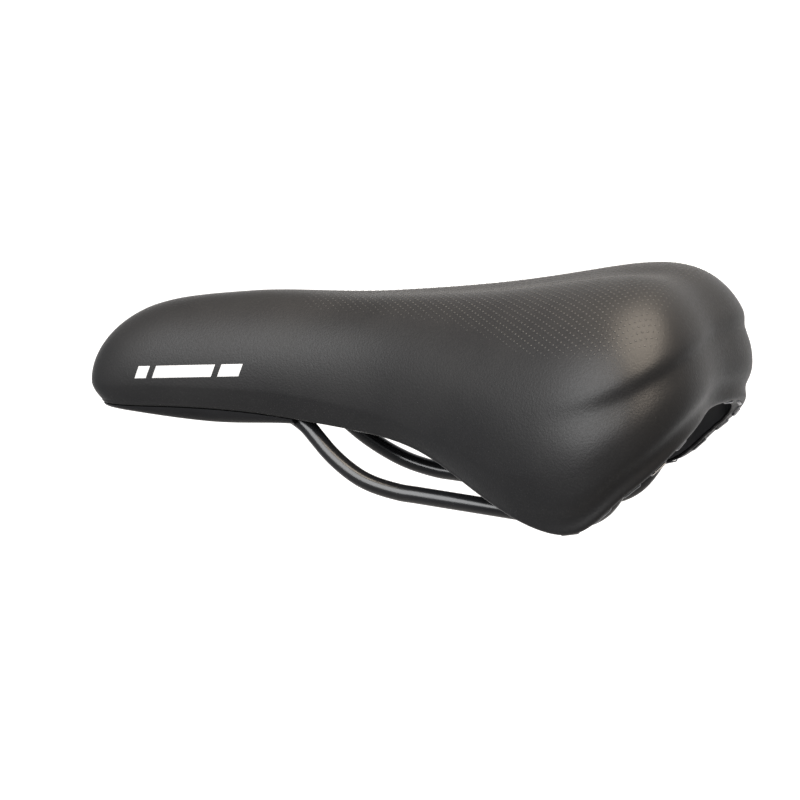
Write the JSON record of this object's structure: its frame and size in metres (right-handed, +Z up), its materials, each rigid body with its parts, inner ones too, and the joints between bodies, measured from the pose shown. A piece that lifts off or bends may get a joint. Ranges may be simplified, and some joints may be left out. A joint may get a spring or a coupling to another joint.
{
  "type": "bicycle saddle",
  "caption": "Bicycle saddle with a moulded base shell on wire rails, a foam pad and a stapled synthetic leather cover, to be held in a seatpost's rail clamp.",
  "frame": {"origin": "midway between the two rails, on their centre lines' level, at the middle of the straight clamp zone", "axes": "nose towards -Y, tail towards +Y, +Z up with the seat level, +X to the rider's left; the rails' straight zone slopes 9.5 degrees down towards the tail"},
  "size_m": [0.1512, 0.2757, 0.098],
  "materials": {
    "cover_leather": "matte fine-grained synthetic leather, dimpled on the seat",
    "foam": "moulded polyurethane foam",
    "shell_plastic": "moulded polypropylene",
    "rail_steel": "satin black paint",
    "zinc_steel": "zinc plated"
  },
  "bodies": {
    "root": {"cover": "cover_leather", "foam_pad": "foam", "base_shell": "shell_plastic", "nose_tray": "shell_plastic", "rail_left": "rail_steel", "rail_right": "rail_steel", "nose_screw_front": "zinc_steel", "nose_screw_rear": "zinc_steel", "hem_staple_left_01": "zinc_steel", "hem_staple_left_02": "zinc_steel", "hem_staple_left_03": "zinc_steel", "hem_staple_left_04": "zinc_steel", "hem_staple_left_05": "zinc_steel", "hem_staple_left_06": "zinc_steel", "hem_staple_left_07": "zinc_steel", "hem_staple_left_08": "zinc_steel", "hem_staple_left_09": "zinc_steel", "hem_staple_left_10": "zinc_steel", "hem_staple_left_11": "zinc_steel", "hem_staple_left_12": "zinc_steel", "hem_staple_right_01": "zinc_steel", "hem_staple_right_02": "zinc_steel", "hem_staple_right_03": "zinc_steel", "hem_staple_right_04": "zinc_steel", "hem_staple_right_05": "zinc_steel", "hem_staple_right_06": "zinc_steel", "hem_staple_right_07": "zinc_steel", "hem_staple_right_08": "zinc_steel", "hem_staple_right_09": "zinc_steel", "hem_staple_right_10": "zinc_steel", "hem_staple_right_11": "zinc_steel", "hem_staple_right_12": "zinc_steel"}
  },
  "joints": []
}
